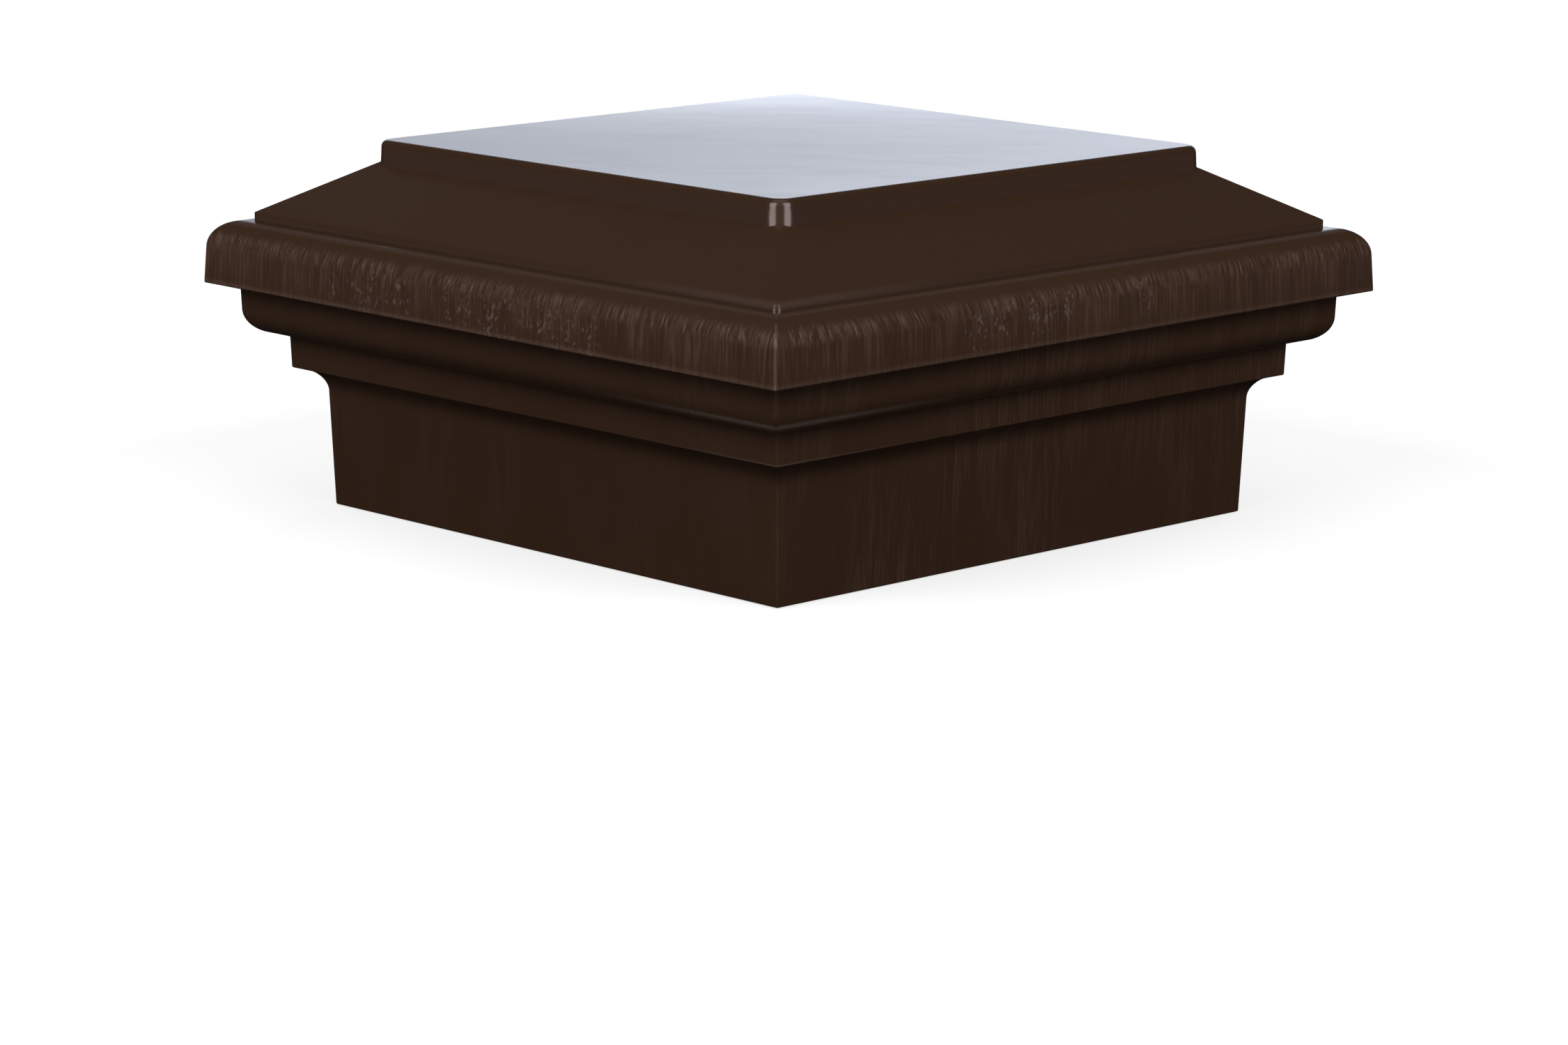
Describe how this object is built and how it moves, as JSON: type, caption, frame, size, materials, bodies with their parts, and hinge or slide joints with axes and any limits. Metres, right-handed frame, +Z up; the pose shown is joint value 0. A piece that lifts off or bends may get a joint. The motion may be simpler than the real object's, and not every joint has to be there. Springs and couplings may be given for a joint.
{
  "type": "flat top post cap",
  "caption": "Square flat top post cap with a hipped slope, a round-shouldered ring over ovolo, fillet and cove bands, and a tapered skirt with a square socket.",
  "frame": {"origin": "centre of the skirt's bottom rim, at the height of the rim", "axes": "+Z up out of the flat top, +X and +Y square to two sides"},
  "size_m": [0.1232, 0.1232, 0.0552],
  "materials": {
    "cap_plastic": "dark brown satin moulded plastic with a fine vertical grain on the upright bands"
  },
  "bodies": {
    "root": {"post_cap": "cap_plastic"}
  },
  "joints": []
}
